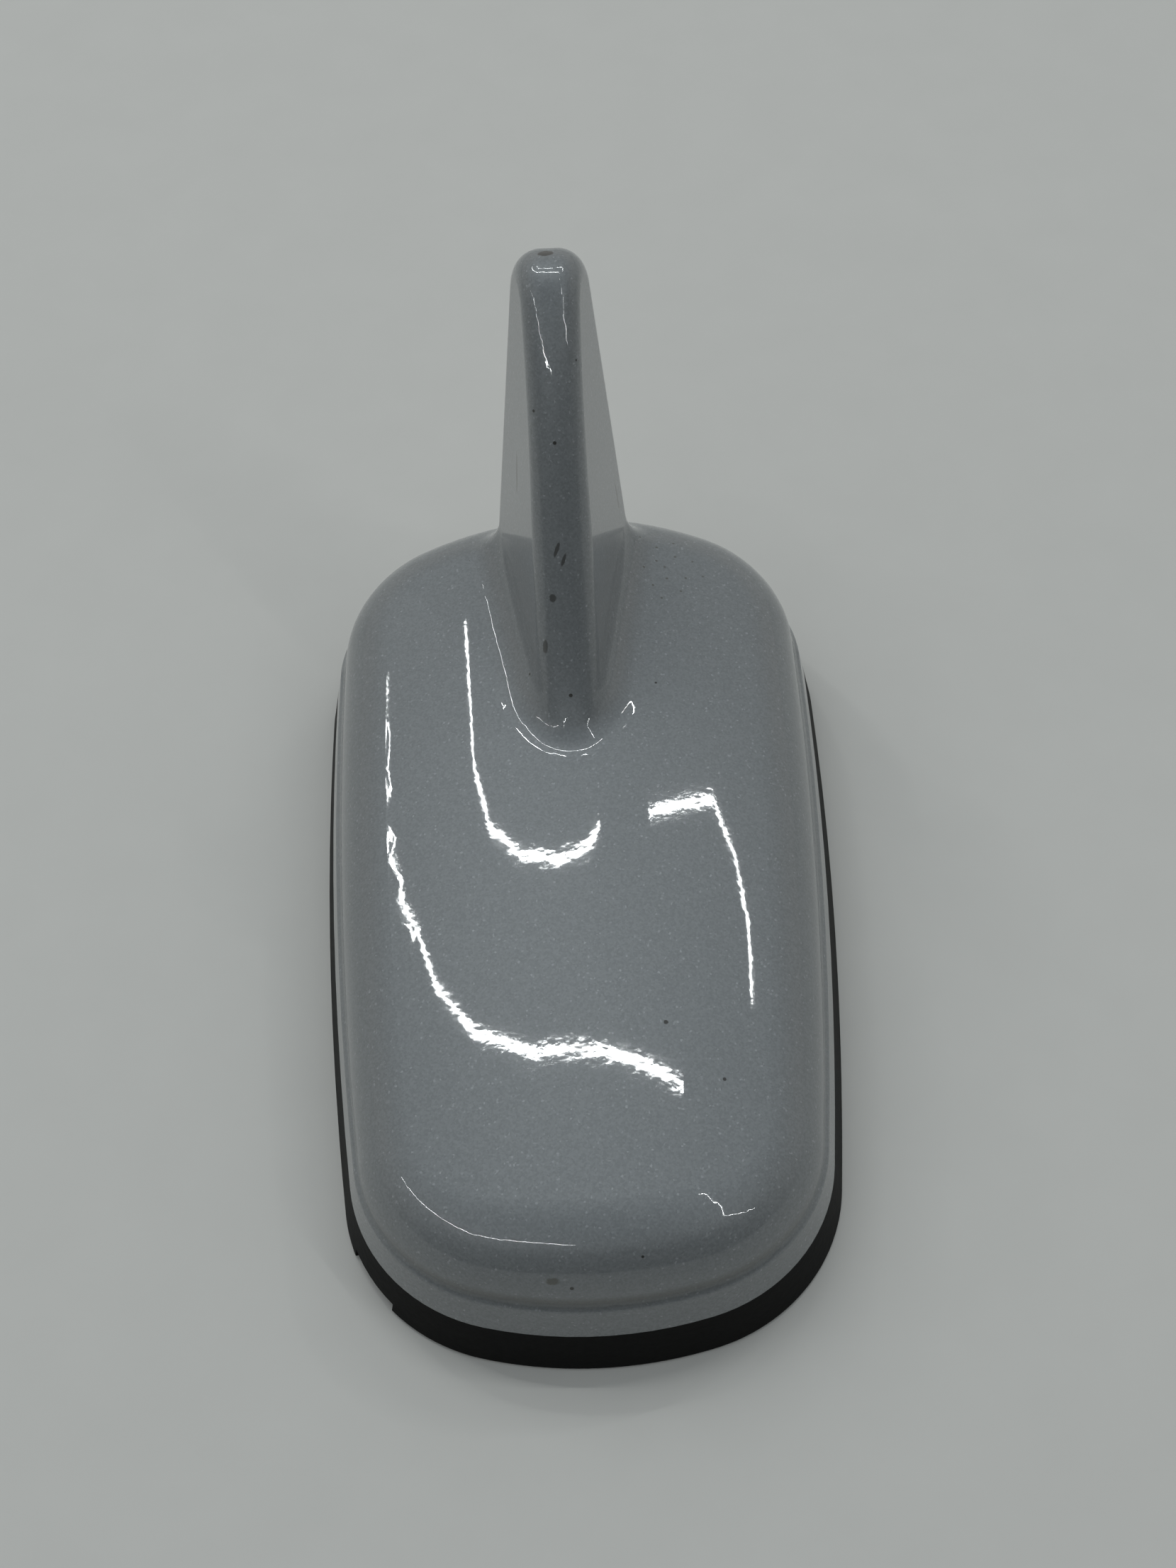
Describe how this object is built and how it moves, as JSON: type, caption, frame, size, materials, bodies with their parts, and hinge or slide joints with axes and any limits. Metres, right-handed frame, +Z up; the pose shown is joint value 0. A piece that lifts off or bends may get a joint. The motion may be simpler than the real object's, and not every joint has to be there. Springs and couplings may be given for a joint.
{
  "type": "shark fin aerial",
  "caption": "Roof aerial for a car: a pillow-shaped painted cover with a swept fin at its rear, standing on a rubber gasket over a cast plate that bolts to the roof.",
  "frame": {"origin": "middle of the gasket's underside, where it stands on the roof panel", "axes": "+X to the right seen from the front, +Y from the rounded front toward the fin, +Z up"},
  "size_m": [0.0708, 0.1252, 0.0747],
  "materials": {
    "silver_paint": "metallic paint under clear lacquer on moulded plastic",
    "gasket_rubber": "matt moulded rubber, torn at one corner",
    "cast_alloy": "bare die casting",
    "plated_steel": "zinc plated",
    "seal_foam": "closed-cell foam",
    "board_laminate": "green solder resist on glass laminate",
    "tape_adhesive": "white adhesive pad",
    "patch_ceramic": "fired, unglazed",
    "silver_electrode": "fired silver paste",
    "tinned_wire": "tinned brass",
    "tin_plate": "bright tin plate",
    "chip_epoxy": "moulded epoxy",
    "copper_foil": "etched copper",
    "socket_blue": "moulded blue plastic",
    "socket_violet": "moulded red-violet plastic",
    "gilt_brass": "gold-flashed brass",
    "insulator_white": "turned white insulator"
  },
  "bodies": {
    "root": {"fin_cover": "silver_paint", "base_gasket": "gasket_rubber", "base_plate": "cast_alloy", "fixing_bush": "plated_steel", "inner_seal": "seal_foam", "cover_screws": "plated_steel", "main_board": "board_laminate", "board_screws": "plated_steel", "patch_tape": "tape_adhesive", "patch_ceramic": "patch_ceramic", "patch_electrode": "silver_electrode", "patch_feed_pin": "tinned_wire", "shield_can": "tin_plate", "amplifier_chips": "chip_epoxy", "fin_board": "board_laminate", "fin_radiator": "copper_foil", "position_socket_housing": "socket_blue", "phone_socket_housing": "socket_violet", "socket_sleeves": "gilt_brass", "socket_insulators": "insulator_white", "socket_pins": "gilt_brass"}
  },
  "joints": []
}
